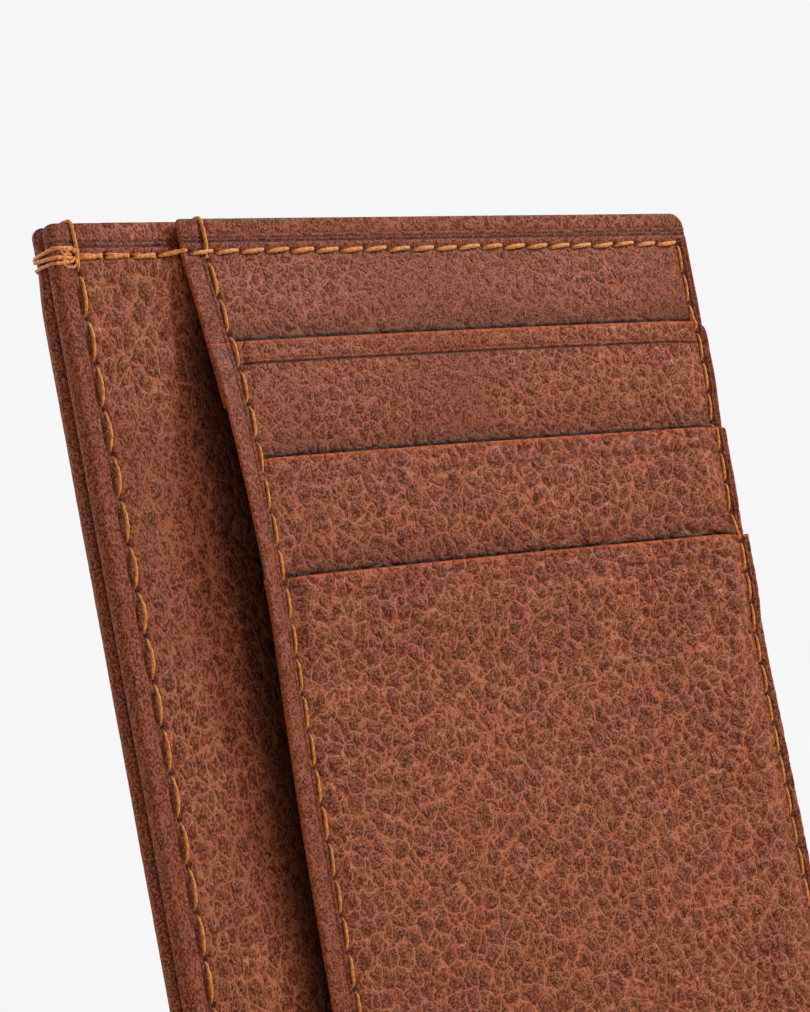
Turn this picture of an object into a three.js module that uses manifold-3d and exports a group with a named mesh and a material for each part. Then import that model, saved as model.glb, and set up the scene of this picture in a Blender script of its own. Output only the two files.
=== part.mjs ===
// A slim upright card wallet, in millimetres, +Z up, front towards -Y, cards going in from above.
//
// Two leather leaves and a stack of three card pockets lie one behind the other. One seam sews them all
// together along the top, the right side and the bottom. On the left the two leaves and the stack end in
// edges of their own, so there are two flat side pockets that open to the left, one behind each edge.
//
// Every ply is placed by its depth, counted from the back face of the back panel towards the front.

import * as THREE from "three";
import { mergeVertices } from "three/addons/utils/BufferGeometryUtils.js";
import Module from "manifold-3d";

// Outside size
const WIDTH = 80.6;
const HEIGHT = 109.3;
const CORNER_RADIUS = 1.6;

// Plies
const LEAF_LEATHER = 1.15;
const BAND_LEATHER = 0.5;
const POCKET_LEATHER = 0.4;
const FRONT_LEATHER = 0.65;
const LINING = 0.25;
const TAIL_CLOTH = 0.15;
const GLUE_GAP = 0.04;
const SLOT_GAP = 0.08;
const SIDE_POCKET_GAP = 0.35;

// Thread
const THREAD_WIDTH = 0.5;
const THREAD_RISE = 0.3;
const THREAD_GAP = 0.02;
const THREAD_CLEAR = 0.35;

// Layout
const STACK_INSET = 14.1;
const FIRST_SLOT = 11.1;
const SLOT_STEP = 10.8;
const UNDERLAP = 6;
const FALL = 3;
const TAIL_LAP = 4;
const UPPER_POCKET_FLOOR = 20;
const MIDDLE_POCKET_FLOOR = 10.5;
const FLOOR_CLEAR = 1;
const FLAP_WIDTH = 7;
const CLOTH_INSET = 0.8;

// How far a ply is drawn past the outline that trims it
const OVERSIZE = 1;

// Seams, as distances from the edge that each one follows
const TOP_SEAM = 3.1;
const SIDE_SEAM = 1.4;
const CARD_EDGE_SEAM = 2.8;
const DIVIDER_EDGE_SEAM = 2.7;
const BACK_EDGE_SEAM = 2;
const FLOOR_SEAM_END = 4;
const TACK_LENGTH = 2.3;
const TACK_HEIGHT = 2.2;

// Where each flat ply lies: it reaches from depth "back" to depth "front"
const ply = (back, thickness) => ({ back, front: back + thickness });
const backPanel = ply(0, LEAF_LEATHER);
const backLining = ply(backPanel.front + GLUE_GAP, LINING);
const backFlap = ply(backLining.back, LINING + GLUE_GAP);
const dividerLining = ply(backLining.front + SIDE_POCKET_GAP, LINING);
const dividerPanel = ply(dividerLining.front + GLUE_GAP, LEAF_LEATHER);
const cardBacking = ply(dividerPanel.front + SIDE_POCKET_GAP, LINING);
const topBand = ply(cardBacking.front + GLUE_GAP, BAND_LEATHER);
const upperTail = ply(cardBacking.front + SLOT_GAP, TAIL_CLOTH);
const middleTail = ply(upperTail.front + SLOT_GAP, TAIL_CLOTH);

// Heights of the pocket mouths and of the lower ends of what lies behind each one
const SLOT_1 = HEIGHT - FIRST_SLOT;
const SLOT_2 = SLOT_1 - SLOT_STEP;
const SLOT_3 = SLOT_2 - SLOT_STEP;
const BAND_END = SLOT_1 - UNDERLAP;
const UPPER_END = SLOT_2 - UNDERLAP;
const MIDDLE_END = SLOT_3 - UNDERLAP;

// The back of each pocket's leather, as [z, depth] from its mouth down. It lies over the end of the
// leather above, then comes down onto the cloth.
const overBand = topBand.front + SLOT_GAP;
const onUpperTail = upperTail.front + GLUE_GAP;
const overUpper = onUpperTail + POCKET_LEATHER + SLOT_GAP;
const onMiddleTail = middleTail.front + GLUE_GAP;
const overMiddle = onMiddleTail + POCKET_LEATHER + SLOT_GAP;
const onTails = middleTail.front + SLOT_GAP;
const onBacking = cardBacking.front + SLOT_GAP;
const UPPER_COURSE = [
  [SLOT_1, overBand],
  [BAND_END, overBand],
  [BAND_END - FALL, onUpperTail],
  [UPPER_END, onUpperTail],
];
const MIDDLE_COURSE = [
  [SLOT_2, overUpper],
  [UPPER_END, overUpper],
  [UPPER_END - FALL, onMiddleTail],
  [MIDDLE_END, onMiddleTail],
];
const FRONT_COURSE = [
  [SLOT_3, overMiddle],
  [MIDDLE_END, overMiddle],
  [MIDDLE_END - FALL, onTails],
  [MIDDLE_POCKET_FLOOR - FLOOR_CLEAR, onTails],
  [MIDDLE_POCKET_FLOOR - FLOOR_CLEAR - FALL, onBacking],
  [-OVERSIZE, onBacking],
];
const THICKNESS = overMiddle + FRONT_LEATHER + 2 * THREAD_RISE;

// Places in the part's own frame: x from the middle, y from the middle of the depth, z from the bottom
const RIGHT = WIDTH / 2;
const LEAF_LEFT = -WIDTH / 2 + THREAD_RISE;
const STACK_LEFT = LEAF_LEFT + STACK_INSET;
const SEAM_TOP = HEIGHT - TOP_SEAM;
const SEAM_BOTTOM = TOP_SEAM;
const SEAM_RIGHT = RIGHT - SIDE_SEAM;
const SEAM_LEFT = LEAF_LEFT + TACK_LENGTH + THREAD_CLEAR;
const yAt = (depth) => THICKNESS / 2 - THREAD_RISE - depth;

const LOOKS = {
  leather: { color: 0x8a4f3b, roughness: 0.62, metalness: 0 },
  pocket_leather: { color: 0x854b38, roughness: 0.6, metalness: 0 },
  lining: { color: 0x3f2a22, roughness: 0.9, metalness: 0 },
  thread: { color: 0xd08a3c, roughness: 0.55, metalness: 0 },
};

const wasm = await Module();
wasm.setup();

// A closed three.js geometry as a solid that can be joined and cut.
function solidFrom(geometry) {
  const bare = geometry.index ? geometry.toNonIndexed() : geometry.clone();
  bare.deleteAttribute("normal");
  bare.deleteAttribute("uv");
  const merged = mergeVertices(bare, 1e-5);
  return new wasm.Manifold(
    new wasm.Mesh({
      numProp: 3,
      vertProperties: merged.attributes.position.array,
      triVerts: new Uint32Array(merged.index.array),
    }),
  );
}

// A solid back as a three.js geometry with flat faces.
function geometryFrom(solid) {
  const mesh = solid.getMesh();
  const indexed = new THREE.BufferGeometry();
  indexed.setAttribute("position", new THREE.BufferAttribute(mesh.vertProperties, 3));
  indexed.setIndex(new THREE.BufferAttribute(mesh.triVerts, 1));
  const flat = indexed.toNonIndexed();
  flat.computeVertexNormals();
  return flat;
}

// A box between two corners, each given as [x, depth, z].
function block([x0, depth0, z0], [x1, depth1, z1]) {
  const box = new THREE.BoxGeometry(x1 - x0, depth1 - depth0, z1 - z0);
  return box.translate((x0 + x1) / 2, yAt((depth0 + depth1) / 2), (z0 + z1) / 2);
}

const joined = (boxes) => geometryFrom(boxes.map(solidFrom).reduce((whole, next) => whole.add(next)));

// The wallet's outline with its four round corners, deeper than the whole wallet.
function outlineSolid() {
  const [left, r] = [LEAF_LEFT - THREAD_GAP, CORNER_RADIUS];
  const outline = new THREE.Shape();
  outline.absarc(RIGHT - r, r, r, -Math.PI / 2, 0);
  outline.absarc(RIGHT - r, HEIGHT - r, r, 0, Math.PI / 2);
  outline.absarc(left + r, HEIGHT - r, r, Math.PI / 2, Math.PI);
  outline.absarc(left + r, r, r, Math.PI, 1.5 * Math.PI);
  const settings = { depth: 2 * THICKNESS, bevelEnabled: false, curveSegments: 6 };
  const prism = new THREE.ExtrudeGeometry(outline, settings);
  return solidFrom(prism.rotateX(Math.PI / 2).translate(0, THICKNESS, 0));
}

const walletOutline = outlineSolid();
const trimmed = (geometry) => geometryFrom(solidFrom(geometry).intersect(walletOutline));

// A profile in the x, depth plane, raised from zLow to zHigh.
function raised(profile, zLow, zHigh) {
  const settings = { depth: zHigh - zLow, bevelEnabled: false, curveSegments: 8 };
  return new THREE.ExtrudeGeometry(profile, settings).translate(0, 0, zLow);
}

// A leaf's leather, turned along its left edge: it runs round a nose and back as a short flap, and the
// fold between the two stays open to the right, where it holds the lining's edge.
function leafPanel(leather, flap) {
  const flapBehind = flap.back < leather.back;
  const [low, high] = flapBehind ? [flap, leather] : [leather, flap];
  const [lowEnd, highEnd] = flapBehind ? [FLAP_WIDTH, WIDTH + OVERSIZE] : [WIDTH + OVERSIZE, FLAP_WIDTH];
  const nose = (high.front - low.back) / 2;
  const noseX = LEAF_LEFT + nose;
  const profile = new THREE.Shape();
  profile.moveTo(LEAF_LEFT + lowEnd, yAt(low.back));
  profile.lineTo(noseX, yAt(low.back));
  profile.absarc(noseX, yAt(low.back + nose), nose, Math.PI / 2, 1.5 * Math.PI);
  profile.lineTo(LEAF_LEFT + highEnd, yAt(high.front));
  profile.lineTo(LEAF_LEFT + highEnd, yAt(high.back));
  profile.lineTo(noseX, yAt(high.back));
  profile.lineTo(noseX, yAt(low.front));
  profile.lineTo(LEAF_LEFT + lowEnd, yAt(low.front));
  return trimmed(raised(profile, -OVERSIZE, HEIGHT + OVERSIZE));
}

// A strip that follows a course down the front: a profile in the z, depth plane between two lists of
// [z, depth], one for its back and one for its front, stretched from x0 to x1.
function followed(backCourse, frontCourse, x0, x1) {
  const profile = new THREE.Shape();
  const outline = [...backCourse, ...frontCourse.toReversed()];
  profile.setFromPoints(outline.map(([z, depth]) => new THREE.Vector2(-z, yAt(depth))));
  const settings = { depth: x1 - x0, bevelEnabled: false };
  return new THREE.ExtrudeGeometry(profile, settings).rotateY(Math.PI / 2).translate(x0, 0, 0);
}

const shifted = (course, dz, dDepth) => course.map(([z, depth]) => [z + dz, depth + dDepth]);

// A card pocket's leather of one thickness, trimmed to the wallet's outline.
function pocketLeather(course, thickness) {
  return trimmed(followed(course, shifted(course, 0, thickness), STACK_LEFT, RIGHT + OVERSIZE));
}

// A lining or a pocket's cloth, set in a little from the sewn edges.
function cloth(left, sheet, zLow, zHigh) {
  return block([left, sheet.back, zLow], [RIGHT - CLOTH_INSET, sheet.front, zHigh]);
}

// A straight stretch of thread that lies on a surface: a bar between two corners [x, z].
function onSurface(depth, [x0, z0], [x1, z1]) {
  return block([x0, depth + THREAD_GAP, z0], [x1, depth + THREAD_RISE, z1]);
}

// The front of the card stack from zTop down to zEnd, as [z, depth], with a step at each mouth.
function stackFront(zTop, zEnd) {
  return [
    [zTop, topBand.front],
    [SLOT_1, topBand.front],
    ...shifted(UPPER_COURSE.slice(0, 3), 0, POCKET_LEATHER),
    [SLOT_2, onUpperTail + POCKET_LEATHER],
    ...shifted(MIDDLE_COURSE.slice(0, 3), 0, POCKET_LEATHER),
    [SLOT_3, onMiddleTail + POCKET_LEATHER],
    ...shifted(FRONT_COURSE.slice(0, 5), 0, FRONT_LEATHER),
    [zEnd, onBacking + FRONT_LEATHER],
  ];
}

// A vertical seam on the front of the stack. It climbs each pocket mouth just above the mouth's edge.
function fallingSeam(x, zTop, zEnd) {
  const surface = stackFront(zTop, zEnd);
  const under = shifted(surface, THREAD_GAP, THREAD_GAP);
  const over = shifted(surface, THREAD_GAP + THREAD_WIDTH, THREAD_RISE);
  return followed(under, over, x - THREAD_WIDTH / 2, x + THREAD_WIDTH / 2);
}

// A level seam that starts on the divider and climbs onto the card stack's surface at the given depth.
function climbingSeam(z, stackDepth) {
  const [z0, z1] = [z - THREAD_WIDTH / 2, z + THREAD_WIDTH / 2];
  const postRight = STACK_LEFT - THREAD_GAP;
  const postLeft = postRight - THREAD_WIDTH;
  const end = SEAM_RIGHT + THREAD_WIDTH / 2;
  return [
    onSurface(dividerPanel.front, [SEAM_LEFT, z0], [postRight, z1]),
    block([postLeft, dividerPanel.front + THREAD_GAP, z0], [postRight, stackDepth + THREAD_RISE, z1]),
    onSurface(stackDepth, [postLeft, z0], [end, z1]),
  ];
}

// The seam round the wallet as the front shows it: the top, the right side and the bottom.
function perimeterFront() {
  return joined([
    ...climbingSeam(SEAM_TOP, topBand.front),
    fallingSeam(SEAM_RIGHT, SEAM_TOP - THREAD_WIDTH / 2, SEAM_BOTTOM - THREAD_WIDTH / 2),
    ...climbingSeam(SEAM_BOTTOM, onBacking + FRONT_LEATHER),
  ]);
}

// The same seam as the back shows it, flat on the back panel.
function perimeterBack() {
  const half = THREAD_WIDTH / 2;
  const bar = ([x0, z0], [x1, z1]) => block([x0, -THREAD_RISE, z0], [x1, -THREAD_GAP, z1]);
  return joined([
    bar([SEAM_LEFT, SEAM_TOP - half], [SEAM_RIGHT + half, SEAM_TOP + half]),
    bar([SEAM_RIGHT - half, SEAM_BOTTOM - half], [SEAM_RIGHT + half, SEAM_TOP + half]),
    bar([SEAM_LEFT, SEAM_BOTTOM - half], [SEAM_RIGHT + half, SEAM_BOTTOM + half]),
  ]);
}

// A straight seam along a left edge, in the room between two depths, clear of the top and bottom seams.
function edgeSeam(x, depth0, depth1, clear) {
  const [zLow, zHigh] = [SEAM_BOTTOM + clear, SEAM_TOP - clear];
  return block([x - THREAD_WIDTH / 2, depth0, zLow], [x + THREAD_WIDTH / 2, depth1, zHigh]);
}

// The seam that closes a card pocket's floor, along the lower edge of its cloth tail.
function floorSeam(tail, floor) {
  const [zLow, zHigh] = [floor - THREAD_GAP - THREAD_WIDTH, floor - THREAD_GAP];
  const depthLow = cardBacking.front + THREAD_GAP;
  return block([STACK_LEFT + FLOOR_SEAM_END, depthLow, zLow], [RIGHT - FLOOR_SEAM_END, tail.front, zHigh]);
}

// Strands wound round the left edge of both leaves, as a clip that is open to the right.
function cornerTack(zMiddle) {
  const [low, high] = [zMiddle - TACK_HEIGHT / 2, zMiddle + TACK_HEIGHT / 2];
  const right = LEAF_LEFT + TACK_LENGTH;
  const front = dividerPanel.front;
  const outside = block([-WIDTH / 2, -THREAD_RISE, low], [right, front + THREAD_RISE, high]);
  const leaves = block(
    [LEAF_LEFT - THREAD_GAP, -THREAD_GAP, low - OVERSIZE],
    [right + OVERSIZE, front + THREAD_GAP, high + OVERSIZE],
  );
  return geometryFrom(solidFrom(outside).subtract(solidFrom(leaves)));
}

const group = new THREE.Group();

function addNode(name, look, geometry) {
  const node = new THREE.Mesh(geometry, new THREE.MeshStandardMaterial(LOOKS[look]));
  node.name = name;
  group.add(node);
}

// The two leaves, each with a lining that starts where its flap ends
const leafLiningLeft = LEAF_LEFT + FLAP_WIDTH + THREAD_CLEAR;
const [liningLow, liningHigh] = [CLOTH_INSET, HEIGHT - CLOTH_INSET];
addNode("back_panel", "leather", leafPanel(backPanel, backFlap));
addNode("back_lining", "lining", cloth(leafLiningLeft, backLining, liningLow, liningHigh));
addNode("divider_lining", "lining", cloth(leafLiningLeft, dividerLining, liningLow, liningHigh));
addNode("divider_panel", "leather", leafPanel(dividerPanel, dividerLining));

// The card stack: a backing, a leather band at the top, and three pockets, each in front of the last
const stackClothLeft = STACK_LEFT + CLOTH_INSET;
const BAND_COURSE = [
  [HEIGHT + OVERSIZE, topBand.back],
  [BAND_END, topBand.back],
];
const upperTailTop = UPPER_END + TAIL_LAP;
const middleTailTop = MIDDLE_END + TAIL_LAP;
addNode("card_backing", "lining", cloth(stackClothLeft, cardBacking, liningLow, liningHigh));
addNode("top_band", "pocket_leather", pocketLeather(BAND_COURSE, BAND_LEATHER));
addNode("upper_pocket", "pocket_leather", pocketLeather(UPPER_COURSE, POCKET_LEATHER));
addNode("upper_pocket_tail", "lining", cloth(stackClothLeft, upperTail, UPPER_POCKET_FLOOR, upperTailTop));
addNode("middle_pocket", "pocket_leather", pocketLeather(MIDDLE_COURSE, POCKET_LEATHER));
addNode("middle_pocket_tail", "lining", cloth(stackClothLeft, middleTail, MIDDLE_POCKET_FLOOR, middleTailTop));
addNode("front_pocket", "pocket_leather", pocketLeather(FRONT_COURSE, FRONT_LEATHER));

// The threads: each seam has a needle thread in front and a bobbin thread behind
const stackSeamX = STACK_LEFT + CARD_EDGE_SEAM;
const dividerSeamX = LEAF_LEFT + DIVIDER_EDGE_SEAM;
const backSeamX = LEAF_LEFT + BACK_EDGE_SEAM;
const seamClear = THREAD_WIDTH / 2 + THREAD_CLEAR;
const tackClear = TACK_HEIGHT / 2 + THREAD_CLEAR;
const innerGap = [backFlap.front + THREAD_GAP, dividerLining.back - THREAD_GAP];
const stackGap = [dividerPanel.front + THREAD_GAP, cardBacking.back - THREAD_GAP];
const dividerFace = [dividerPanel.front + THREAD_GAP, dividerPanel.front + THREAD_RISE];
const cardEdgeFront = fallingSeam(stackSeamX, SEAM_TOP - seamClear - THREAD_WIDTH, SEAM_BOTTOM + seamClear);
addNode("perimeter_thread_front", "thread", perimeterFront());
addNode("perimeter_thread_back", "thread", perimeterBack());
addNode("card_edge_thread_front", "thread", cardEdgeFront);
addNode("card_edge_thread_back", "thread", edgeSeam(stackSeamX, ...stackGap, seamClear));
addNode("divider_edge_thread_front", "thread", edgeSeam(dividerSeamX, ...dividerFace, seamClear));
addNode("divider_edge_thread_back", "thread", edgeSeam(dividerSeamX, ...innerGap, seamClear));
addNode("back_edge_thread_front", "thread", edgeSeam(backSeamX, ...innerGap, seamClear));
addNode("back_edge_thread_back", "thread", edgeSeam(backSeamX, -THREAD_RISE, -THREAD_GAP, tackClear));
addNode("upper_pocket_floor_thread", "thread", floorSeam(upperTail, UPPER_POCKET_FLOOR));
addNode("middle_pocket_floor_thread", "thread", floorSeam(middleTail, MIDDLE_POCKET_FLOOR));
addNode("top_corner_tack", "thread", cornerTack(SEAM_TOP));
addNode("bottom_corner_tack", "thread", cornerTack(SEAM_BOTTOM));

export default group;
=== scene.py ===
import math

import bpy
import numpy as np
from mathutils import Matrix, Vector


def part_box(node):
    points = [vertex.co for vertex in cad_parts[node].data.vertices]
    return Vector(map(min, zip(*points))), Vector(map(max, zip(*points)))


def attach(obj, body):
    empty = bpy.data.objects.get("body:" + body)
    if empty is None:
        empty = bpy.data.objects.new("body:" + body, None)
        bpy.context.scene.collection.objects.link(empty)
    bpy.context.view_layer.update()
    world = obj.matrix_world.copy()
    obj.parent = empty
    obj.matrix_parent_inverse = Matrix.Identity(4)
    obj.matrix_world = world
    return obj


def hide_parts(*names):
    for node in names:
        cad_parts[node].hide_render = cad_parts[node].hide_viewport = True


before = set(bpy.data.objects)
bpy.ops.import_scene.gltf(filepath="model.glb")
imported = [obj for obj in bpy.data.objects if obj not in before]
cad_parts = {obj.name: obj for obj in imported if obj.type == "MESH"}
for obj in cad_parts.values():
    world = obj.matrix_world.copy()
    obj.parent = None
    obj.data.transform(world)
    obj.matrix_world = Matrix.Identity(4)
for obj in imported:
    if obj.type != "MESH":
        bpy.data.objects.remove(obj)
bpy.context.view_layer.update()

MM = 0.001  # metres

# ---------------------------------------------------------------- places, in mm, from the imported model


def span(node):
    """A node's lowest and highest corners in mm."""
    low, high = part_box(node)
    return np.array(low) / MM, np.array(high) / MM


BACK = span("back_panel")[1][1]


def ply(node):
    """A node's depths, back and front, counted from the back panel's back face."""
    low, high = span(node)
    return BACK - high[1], BACK - low[1]


def middle_x(node):
    """The place across the wallet of a thread that runs straight up."""
    low, high = span(node)
    return (low[0] + high[0]) / 2


leaf_low, leaf_high = span("divider_panel")
LEFT, RIGHT = leaf_low[0], leaf_high[0]
BOTTOM, TOP = leaf_low[2], leaf_high[2]
STACK_LEFT = span("front_pocket")[0][0]
SLOT_1, SLOT_2, SLOT_3 = (span(n)[1][2] for n in ("upper_pocket", "middle_pocket", "front_pocket"))
BAND_END, UPPER_END, MIDDLE_END = (span(n)[0][2] for n in ("top_band", "upper_pocket", "middle_pocket"))
MIDDLE_FLOOR = span("middle_pocket_tail")[0][2]
SEAM_STACK = middle_x("card_edge_thread_front")
SEAM_DIVIDER = middle_x("divider_edge_thread_front")
SEAM_BACK = middle_x("back_edge_thread_back")
THREAD_HALF = 0.25  # half the width of the perimeter thread
thread_low, thread_high = span("perimeter_thread_back")
SEAM_RIGHT = thread_high[0] - THREAD_HALF
SEAM_TOP = thread_high[2] - THREAD_HALF
SEAM_BOTTOM = thread_low[2] + THREAD_HALF

back_lining, divider_lining, card_backing = map(ply, ("back_lining", "divider_lining", "card_backing"))
upper_tail, middle_tail = ply("upper_pocket_tail"), ply("middle_pocket_tail")
band = ply("top_band")
DIVIDER_FRONT = ply("divider_panel")[1]
LEAF, POCKET, FRONT = 1.15, 0.4, 0.65  # leather thickness of a leaf, the two upper pockets, the front
FLAP = 7.0  # the width that a leaf's left edge is turned under
FALL = 3.0  # the height over which a ply steps down behind another's end
GLUED, LOOSE = 0.04, 0.08  # gaps between plies that are glued, and that only touch

over_band = band[1] + LOOSE
on_upper_tail = upper_tail[1] + GLUED
over_upper = on_upper_tail + POCKET + LOOSE
on_middle_tail = middle_tail[1] + GLUED
over_middle = on_middle_tail + POCKET + LOOSE
on_tails = middle_tail[1] + LOOSE
on_backing = card_backing[1] + LOOSE
FLOOR = MIDDLE_FLOOR - 1
# The depth of each pocket's back at some heights, from the bottom up
UPPER_COURSE = [(BAND_END - FALL, on_upper_tail), (BAND_END, over_band)]
MIDDLE_COURSE = [(UPPER_END - FALL, on_middle_tail), (UPPER_END, over_upper)]
FRONT_COURSE = [
    (FLOOR - FALL, on_backing), (FLOOR, on_tails),
    (MIDDLE_END - FALL, on_tails), (MIDDLE_END, over_middle),
]


def softened(z, heights, values, reach):
    """The value at height z on a line through knots, averaged over a reach up and down."""
    return sum(np.interp(z + o * reach, heights, values) for o in (-1, -0.5, 0, 0.5, 1)) / 5


def follow(course, z):
    """The depth of a ply's back at height z."""
    heights, depths = zip(*course)
    return softened(z, heights, depths, 1.1)


# ---------------------------------------------------------------- how the sewn plies are bent

# The two side pockets lie between these depths. At a seam the plies move back by so much to close them
GAP_KNOTS = [back_lining[1], divider_lining[0], DIVIDER_FRONT, card_backing[0]]
GAP_CLOSED = [0, 0.345, 0.345, 0.69]
# How far the stack's free left side stands off the divider, and how much more its edge curls up, by
# height below the top
EDGE_DROP = [0, 4.5, 8, 11.5, 17, 26, 35, 44, 53, 61, 70, 95, 106, 110]
EDGE_LIFT = [0, 0, 0.5, 1.0, 1.5, 1.5, 1.35, 1.0, 0.95, 0.95, 0.9, 0.5, 0, 0]
EDGE_CURL = [0, 0, 0, 0, 0.2, 0.8, 1.1, 0.8, 0.35, 0.1, 0, 0, 0, 0]
# How far the right seam pulls the front of the stack back, by height below the top
PULL_DROP = [0, 10, 13, 20, 24, 31, 34, 40, 90, 109]
PULL = [0.25, 0.3, 0.5, 0.5, 0.75, 0.8, 0.95, 1.05, 1.0, 0.8]
PULL_ENDS = 0.25  # the same along the top and bottom seams
SEAM_FLAT, SEAM_REACH = 0.2, 2.6  # how far inside a seam the plies are pressed fully, and how they ease
STACK_DEPTH = 1.9  # the depth of the stack that takes up the squeeze


def near(distance, reach):
    """1 up to a distance of 0, then easing to 0."""
    return np.exp(-(np.maximum(distance, 0) / reach) ** 2)


def ramp(value, start, length):
    """0 up to a start, rising to 1 over a length."""
    return np.clip((value - start) / length, 0, 1)


def lift(x, z):
    """How far the stack stands off the divider between its free left edge and the right seam."""
    across = ramp(x, STACK_LEFT, SEAM_RIGHT - STACK_LEFT)
    broad, curl = (softened(TOP - z, EDGE_DROP, knots, 3) for knots in (EDGE_LIFT, EDGE_CURL))
    return ramp(TOP - z, 3.2, 3) * (broad * (1 - across) ** 1.5 + curl * near(x - STACK_LEFT, 2.2))


def droop(x, z):
    """How far the stack's slots hang down towards its free left edge."""
    across = ramp(x, STACK_LEFT, SEAM_RIGHT - STACK_LEFT)
    return 0.65 * (1 - across) ** 2 * ramp(TOP - z, 3.5, 7) * ramp(z, SEAM_BOTTOM, 20)


def puff(x, z):
    """The soft roll of the pockets beside the right seam."""
    crest, height = 3.4, 0.35
    inside = np.maximum(SEAM_RIGHT - x, 0)
    ends = np.clip((SLOT_1 - z) / 12, 0, 1) * ramp(z, SEAM_BOTTOM, 10)
    return height * ends * (inside / crest) ** 2 * np.exp(2 - 2 * inside / crest)


def place(x, depth, z):
    """From a ply's own x, depth and z to the bent wallet, in mm. The perimeter seam closes the gaps
    between the plies and squeezes the stack, most of all along the right side."""
    x, depth, z = np.broadcast_arrays(*(np.asarray(a, float) for a in (x, depth, z)))
    right = near(SEAM_RIGHT - SEAM_FLAT - x, SEAM_REACH)
    at_top = near(SEAM_TOP - SEAM_FLAT - z, SEAM_REACH)
    at_bottom = near(z - SEAM_BOTTOM - SEAM_FLAT, SEAM_REACH)
    ends = 1 - (1 - at_top) * (1 - at_bottom)
    closed = 1 - (1 - right) * (1 - ends)
    pull = sum(np.interp(TOP - z + o, PULL_DROP, PULL) for o in (-1, 0, 1)) / 3
    both = right * pull + ends * (1 - right) * PULL_ENDS
    pull = np.where(closed > 0, both / np.maximum(closed, 1e-9), 0)
    total = GAP_CLOSED[-1]
    front_share = np.minimum(pull, total)
    squeeze = ramp(depth, DIVIDER_FRONT, STACK_DEPTH) * (pull - front_share)
    gaps = np.interp(depth, GAP_KNOTS, GAP_CLOSED) - (total - front_share)
    moved = depth - closed * (gaps + squeeze)
    in_stack = ramp(depth - DIVIDER_FRONT, 0.05, 0.25)
    moved = moved + in_stack * lift(x, z)
    moved = moved + ramp(depth, card_backing[1], 0.4) * puff(x, z)
    return np.stack([x, BACK - moved, z - in_stack * droop(x, z)], axis=-1)


# ---------------------------------------------------------------- noise


def lattice(i, j, seed):
    """A fixed random number from 0 to 1 for each point of a square lattice."""
    h = (i.astype(np.int64) * 374761393 + j.astype(np.int64) * 668265263 + seed * 974634777) & 0xFFFFFFFF
    h = ((h ^ (h >> 13)) * 1274126177) & 0xFFFFFFFF
    return ((h ^ (h >> 16)) & 0xFFFFFF) / 0xFFFFFF


def eased(t):
    return t * t * (3 - 2 * t)


def noise(u, v, seed):
    """Smooth noise from 0 to 1 over a lattice with steps of 1."""
    i, j = np.floor(u), np.floor(v)
    a, b = u - i, v - j
    a, b = eased(a), eased(b)
    low = lattice(i, j, seed) * (1 - a) + lattice(i + 1, j, seed) * a
    high = lattice(i, j + 1, seed) * (1 - a) + lattice(i + 1, j + 1, seed) * a
    return low * (1 - b) + high * b


def cells(u, v, seed):
    """How much farther the second nearest point of a jittered lattice is than the nearest: 0 on the
    border between two cells."""
    i, j = np.floor(u), np.floor(v)
    first = np.full(u.shape, 9.0)
    second = first.copy()
    for di in (-1, 0, 1):
        for dj in (-1, 0, 1):
            ci, cj = i + di, j + dj
            pu = ci + 0.1 + 0.8 * lattice(ci, cj, seed)
            pv = cj + 0.1 + 0.8 * lattice(ci, cj, seed + 1)
            r = np.hypot(u - pu, v - pv)
            second = np.minimum(second, np.maximum(first, r))
            first = np.minimum(first, r)
    return second - first


def pebbles(x, z, wide, tall, seed):
    """A pebbled grain: its height from 0 in the creases to 1, and how much each place is a crease."""
    warp = 0.4 * wide
    u = (x + warp * (noise(x / 2.6, z / 2.6, seed + 5) - 0.5) * 2) / wide
    v = (z + warp * (noise(x / 2.6, z / 2.6, seed + 6) - 0.5) * 2) / tall
    inside = cells(u, v, seed)
    rim = np.clip(inside / 0.34, 0, 1)
    small = np.clip(cells(u * 2.3 + 7, v * 2.3 + 3, seed + 9) / 0.35, 0, 1)
    dome = rim ** 0.6 * (0.75 + 0.25 * small)
    return dome, np.clip(1 - inside / 0.24, 0, 1)


# ---------------------------------------------------------------- seams

# Each seam: the axis that it runs along, its place on the other one, the first and last hole, the pitch
SEAMS = {
    "top": ("x", SEAM_TOP, -37.2, SEAM_RIGHT, 3.0),
    "right": ("z", SEAM_RIGHT, SEAM_BOTTOM, SEAM_TOP, 3.0),
    "bottom": ("x", SEAM_BOTTOM, -37.2, SEAM_RIGHT, 3.0),
    "stack": ("z", SEAM_STACK, 4.2, TOP - 0.6, 3.3),
    "divider": ("z", SEAM_DIVIDER, 4.2, TOP - 0.6, 4.0),
    "back": ("z", SEAM_BACK, 4.8, TOP - 4.6, 4.0),
}


def holes(seam):
    """The places of a seam's needle holes along it."""
    first, last, pitch = SEAMS[seam][2:]
    count = max(1, round((last - first) / pitch))
    return np.linspace(first, last, count + 1)


def seam_marks(x, z, names):
    """The trough and the needle holes of these seams: depth in mm, and the holes' painted shade from 0 to 1.
    """
    trough, pit = 0, 0
    for name in names:
        along, at, first, last, _ = SEAMS[name]
        run, off = (x, z - at) if along == "x" else (z, x - at)
        places = holes(name)
        step = places[1] - places[0]
        beside = (run - first) / step
        gap = np.abs(beside - np.clip(np.round(beside), 0, len(places) - 1)) * step
        beyond = np.maximum(np.maximum(first - run, run - last), 0)
        trough = trough + groove(off, 0.42) * groove(beyond, 0.5)
        pit = pit + groove(off, 0.24) * groove(gap, 0.3)
    return trough, np.minimum(pit, 1)


def groove(distance, wide):
    """1 on a line, falling off to both sides."""
    return np.exp(-(distance / wide) ** 2)


# ---------------------------------------------------------------- sheets with a real thickness


INNER_CREASE = 0.2  # the crease mark all over a hidden face
EDGE_LINES = 6  # the grid lines next to an edge, which a ply's inner face keeps


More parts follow.
